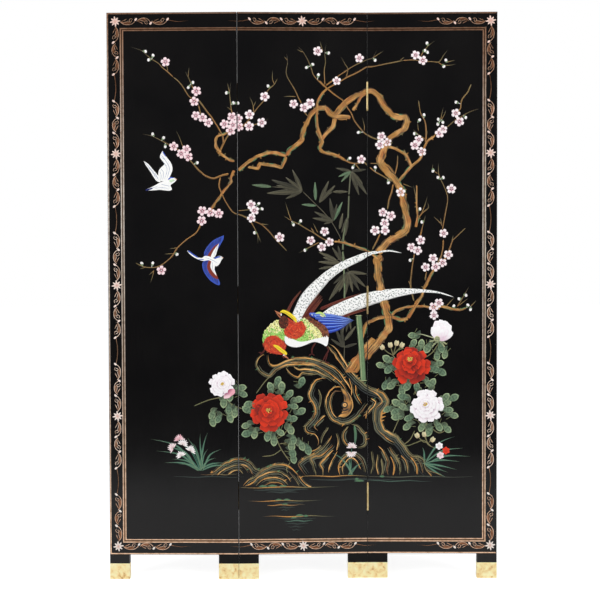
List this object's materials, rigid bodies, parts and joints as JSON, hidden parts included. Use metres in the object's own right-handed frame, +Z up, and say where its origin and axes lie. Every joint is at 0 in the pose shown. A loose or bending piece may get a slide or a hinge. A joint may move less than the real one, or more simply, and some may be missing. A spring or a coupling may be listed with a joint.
{
  "type": "folding screen",
  "caption": "Folding room divider of tall black lacquer panels with painted flowering-tree decoration, gilt border, brass-shod legs and brass hinges.",
  "frame": {"origin": "centre of the standing screen's footprint, on the floor plane under the feet", "axes": "+Z up; the painted front faces -Y; +X runs from the left panel to the right panel as seen from the front"},
  "size_m": [1.2566, 0.0334, 1.83],
  "materials": {
    "lacquered_skin": "high-gloss black lacquer, front with painted and gilt decoration",
    "lacquered_frame": "satin black lacquer on the edges and legs",
    "foot_brass": "antiqued, mottled brass sheet",
    "hinge_brass": "brushed brass",
    "fixing_brass": "plain brass screws and pins"
  },
  "bodies": {
    "left_panel": {"left_panel_left_stile": "lacquered_frame", "left_panel_right_stile": "lacquered_frame", "left_panel_top_rail": "lacquered_frame", "left_panel_upper_rail": "lacquered_frame", "left_panel_lower_rail": "lacquered_frame", "left_panel_bottom_rail": "lacquered_frame", "left_panel_front_skin": "lacquered_skin", "left_panel_back_skin": "lacquered_skin", "left_panel_left_foot": "foot_brass", "left_panel_right_foot": "foot_brass", "left_panel_foot_pins": "fixing_brass", "left_seam_bottom_hinge_left_leaf": "hinge_brass", "left_seam_middle_hinge_left_leaf": "hinge_brass", "left_seam_top_hinge_left_leaf": "hinge_brass", "left_seam_left_screws": "fixing_brass"},
    "centre_panel": {"centre_panel_left_stile": "lacquered_frame", "centre_panel_right_stile": "lacquered_frame", "centre_panel_top_rail": "lacquered_frame", "centre_panel_upper_rail": "lacquered_frame", "centre_panel_lower_rail": "lacquered_frame", "centre_panel_bottom_rail": "lacquered_frame", "centre_panel_front_skin": "lacquered_skin", "centre_panel_back_skin": "lacquered_skin", "centre_panel_left_foot": "foot_brass", "centre_panel_right_foot": "foot_brass", "centre_panel_foot_pins": "fixing_brass", "left_seam_bottom_hinge_right_leaf": "hinge_brass", "left_seam_middle_hinge_right_leaf": "hinge_brass", "left_seam_top_hinge_right_leaf": "hinge_brass", "left_seam_right_screws": "fixing_brass", "left_seam_bottom_hinge_pin": "hinge_brass", "left_seam_middle_hinge_pin": "hinge_brass", "left_seam_top_hinge_pin": "hinge_brass", "right_seam_bottom_hinge_left_leaf": "hinge_brass", "right_seam_middle_hinge_left_leaf": "hinge_brass", "right_seam_top_hinge_left_leaf": "hinge_brass", "right_seam_left_screws": "fixing_brass", "right_seam_bottom_hinge_pin": "hinge_brass", "right_seam_middle_hinge_pin": "hinge_brass", "right_seam_top_hinge_pin": "hinge_brass"},
    "right_panel": {"right_panel_left_stile": "lacquered_frame", "right_panel_right_stile": "lacquered_frame", "right_panel_top_rail": "lacquered_frame", "right_panel_upper_rail": "lacquered_frame", "right_panel_lower_rail": "lacquered_frame", "right_panel_bottom_rail": "lacquered_frame", "right_panel_front_skin": "lacquered_skin", "right_panel_back_skin": "lacquered_skin", "right_panel_left_foot": "foot_brass", "right_panel_right_foot": "foot_brass", "right_panel_foot_pins": "fixing_brass", "right_seam_bottom_hinge_right_leaf": "hinge_brass", "right_seam_middle_hinge_right_leaf": "hinge_brass", "right_seam_top_hinge_right_leaf": "hinge_brass", "right_seam_right_screws": "fixing_brass"}
  },
  "joints": [
    {"name": "left_fold", "type": "hinge", "parent": "centre_panel", "child": "left_panel", "pos_m": [-0.2095, 0.00882, 0.915], "axis": [0, 0, -1], "range_deg": [-3, 177]},
    {"name": "right_fold", "type": "hinge", "parent": "centre_panel", "child": "right_panel", "pos_m": [0.2095, -0.00882, 0.915], "axis": [0, 0, -1], "range_deg": [-3, 177]}
  ]
}
